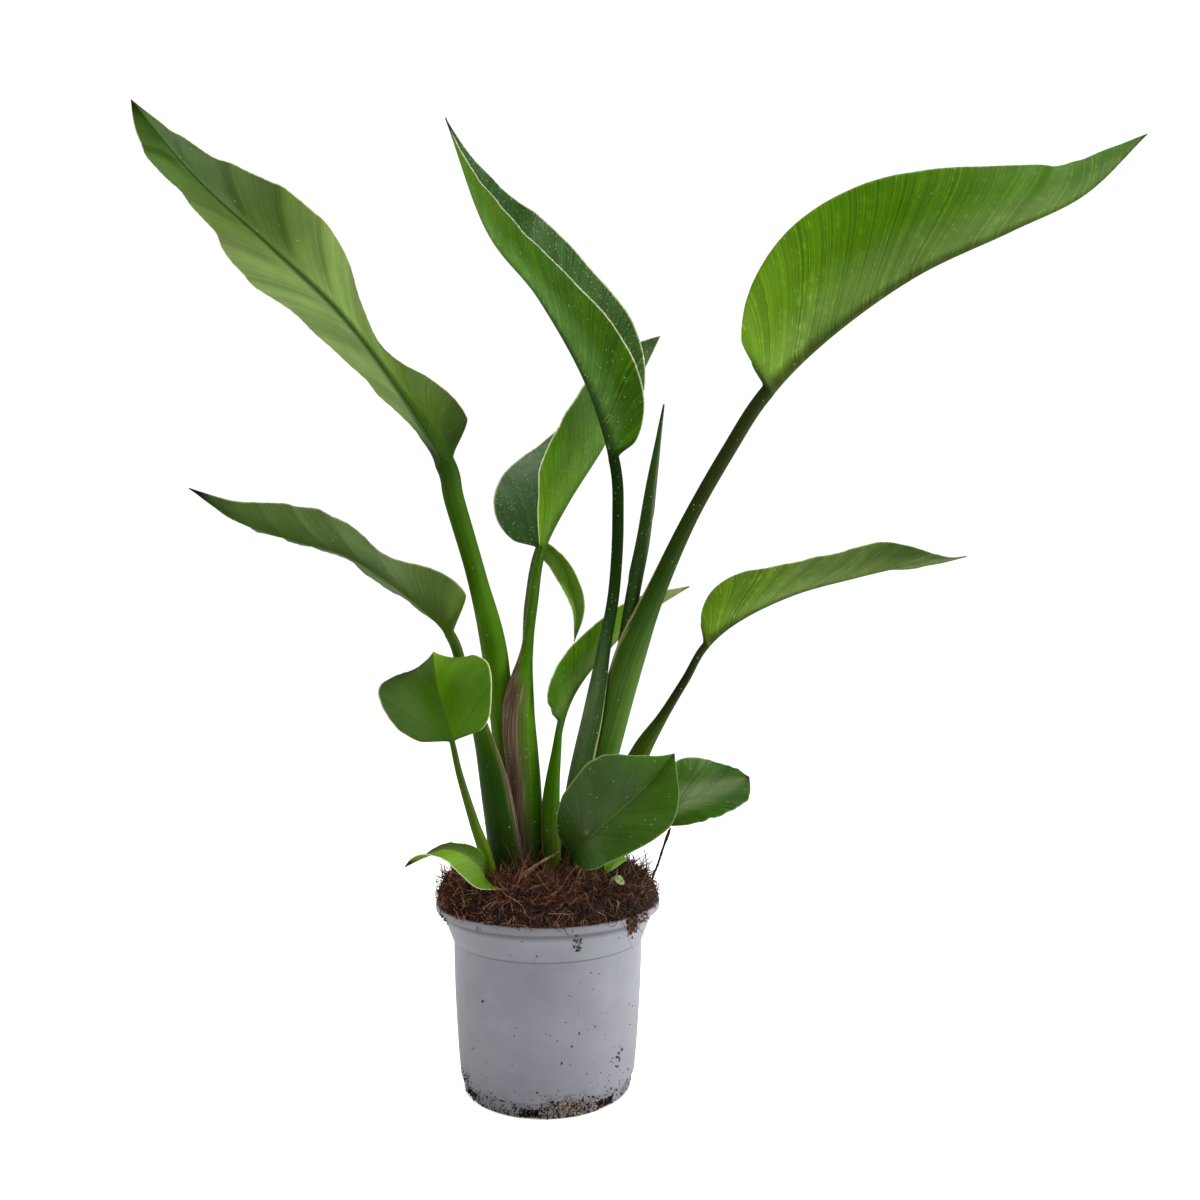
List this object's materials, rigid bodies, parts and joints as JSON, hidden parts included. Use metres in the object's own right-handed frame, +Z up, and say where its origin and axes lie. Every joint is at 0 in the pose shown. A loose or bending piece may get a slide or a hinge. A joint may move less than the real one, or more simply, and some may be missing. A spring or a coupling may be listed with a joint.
{
  "type": "potted bird of paradise",
  "caption": "Bushy bird of paradise house plant with long-stalked paddle leaves in nested fans, growing through fibrous soil in a round plastic nursery pot.",
  "frame": {"origin": "under the middle of the pot, in the plane its feet stand on", "axes": "+Z up; the front of the plant, as pictured, faces -Y; +X to the right"},
  "size_m": [0.6956, 0.2361, 0.716],
  "materials": {
    "leaf_olive": "fresh leaf underside, olive green, satin",
    "leaf_green": "fresh leaf, mid green, satin",
    "leaf_bright": "fresh leaf, yellow green, satin",
    "leaf_dark": "fresh leaf, deep green, waxy",
    "sprout": "young shoot, yellow green",
    "dry_stem": "dry, brown to black",
    "crown": "fleshy crown and roots, matt",
    "pot": "grey-lilac moulded plastic, satin, dusted with soil",
    "soil": "damp fibrous coir, matt"
  },
  "bodies": {
    "root": {"leaf_upper_left": "leaf_olive", "leaf_left": "leaf_olive", "leaf_middle": "leaf_green", "leaf_upper_middle": "leaf_dark", "leaf_upper_right": "leaf_bright", "leaf_right": "leaf_green", "leaf_inner_small": "leaf_green", "leaf_drooping": "leaf_bright", "leaf_round_left": "leaf_olive", "leaf_round_front": "leaf_dark", "leaf_round_right": "leaf_dark", "leaf_curled_low": "leaf_bright", "sprout_yellow": "sprout", "sprout_pale": "sprout", "spear": "leaf_dark", "dry_twig": "dry_stem", "dry_stalk": "dry_stem", "crown_left": "crown", "crown_right": "crown", "pot": "pot", "soil": "soil"}
  },
  "joints": []
}
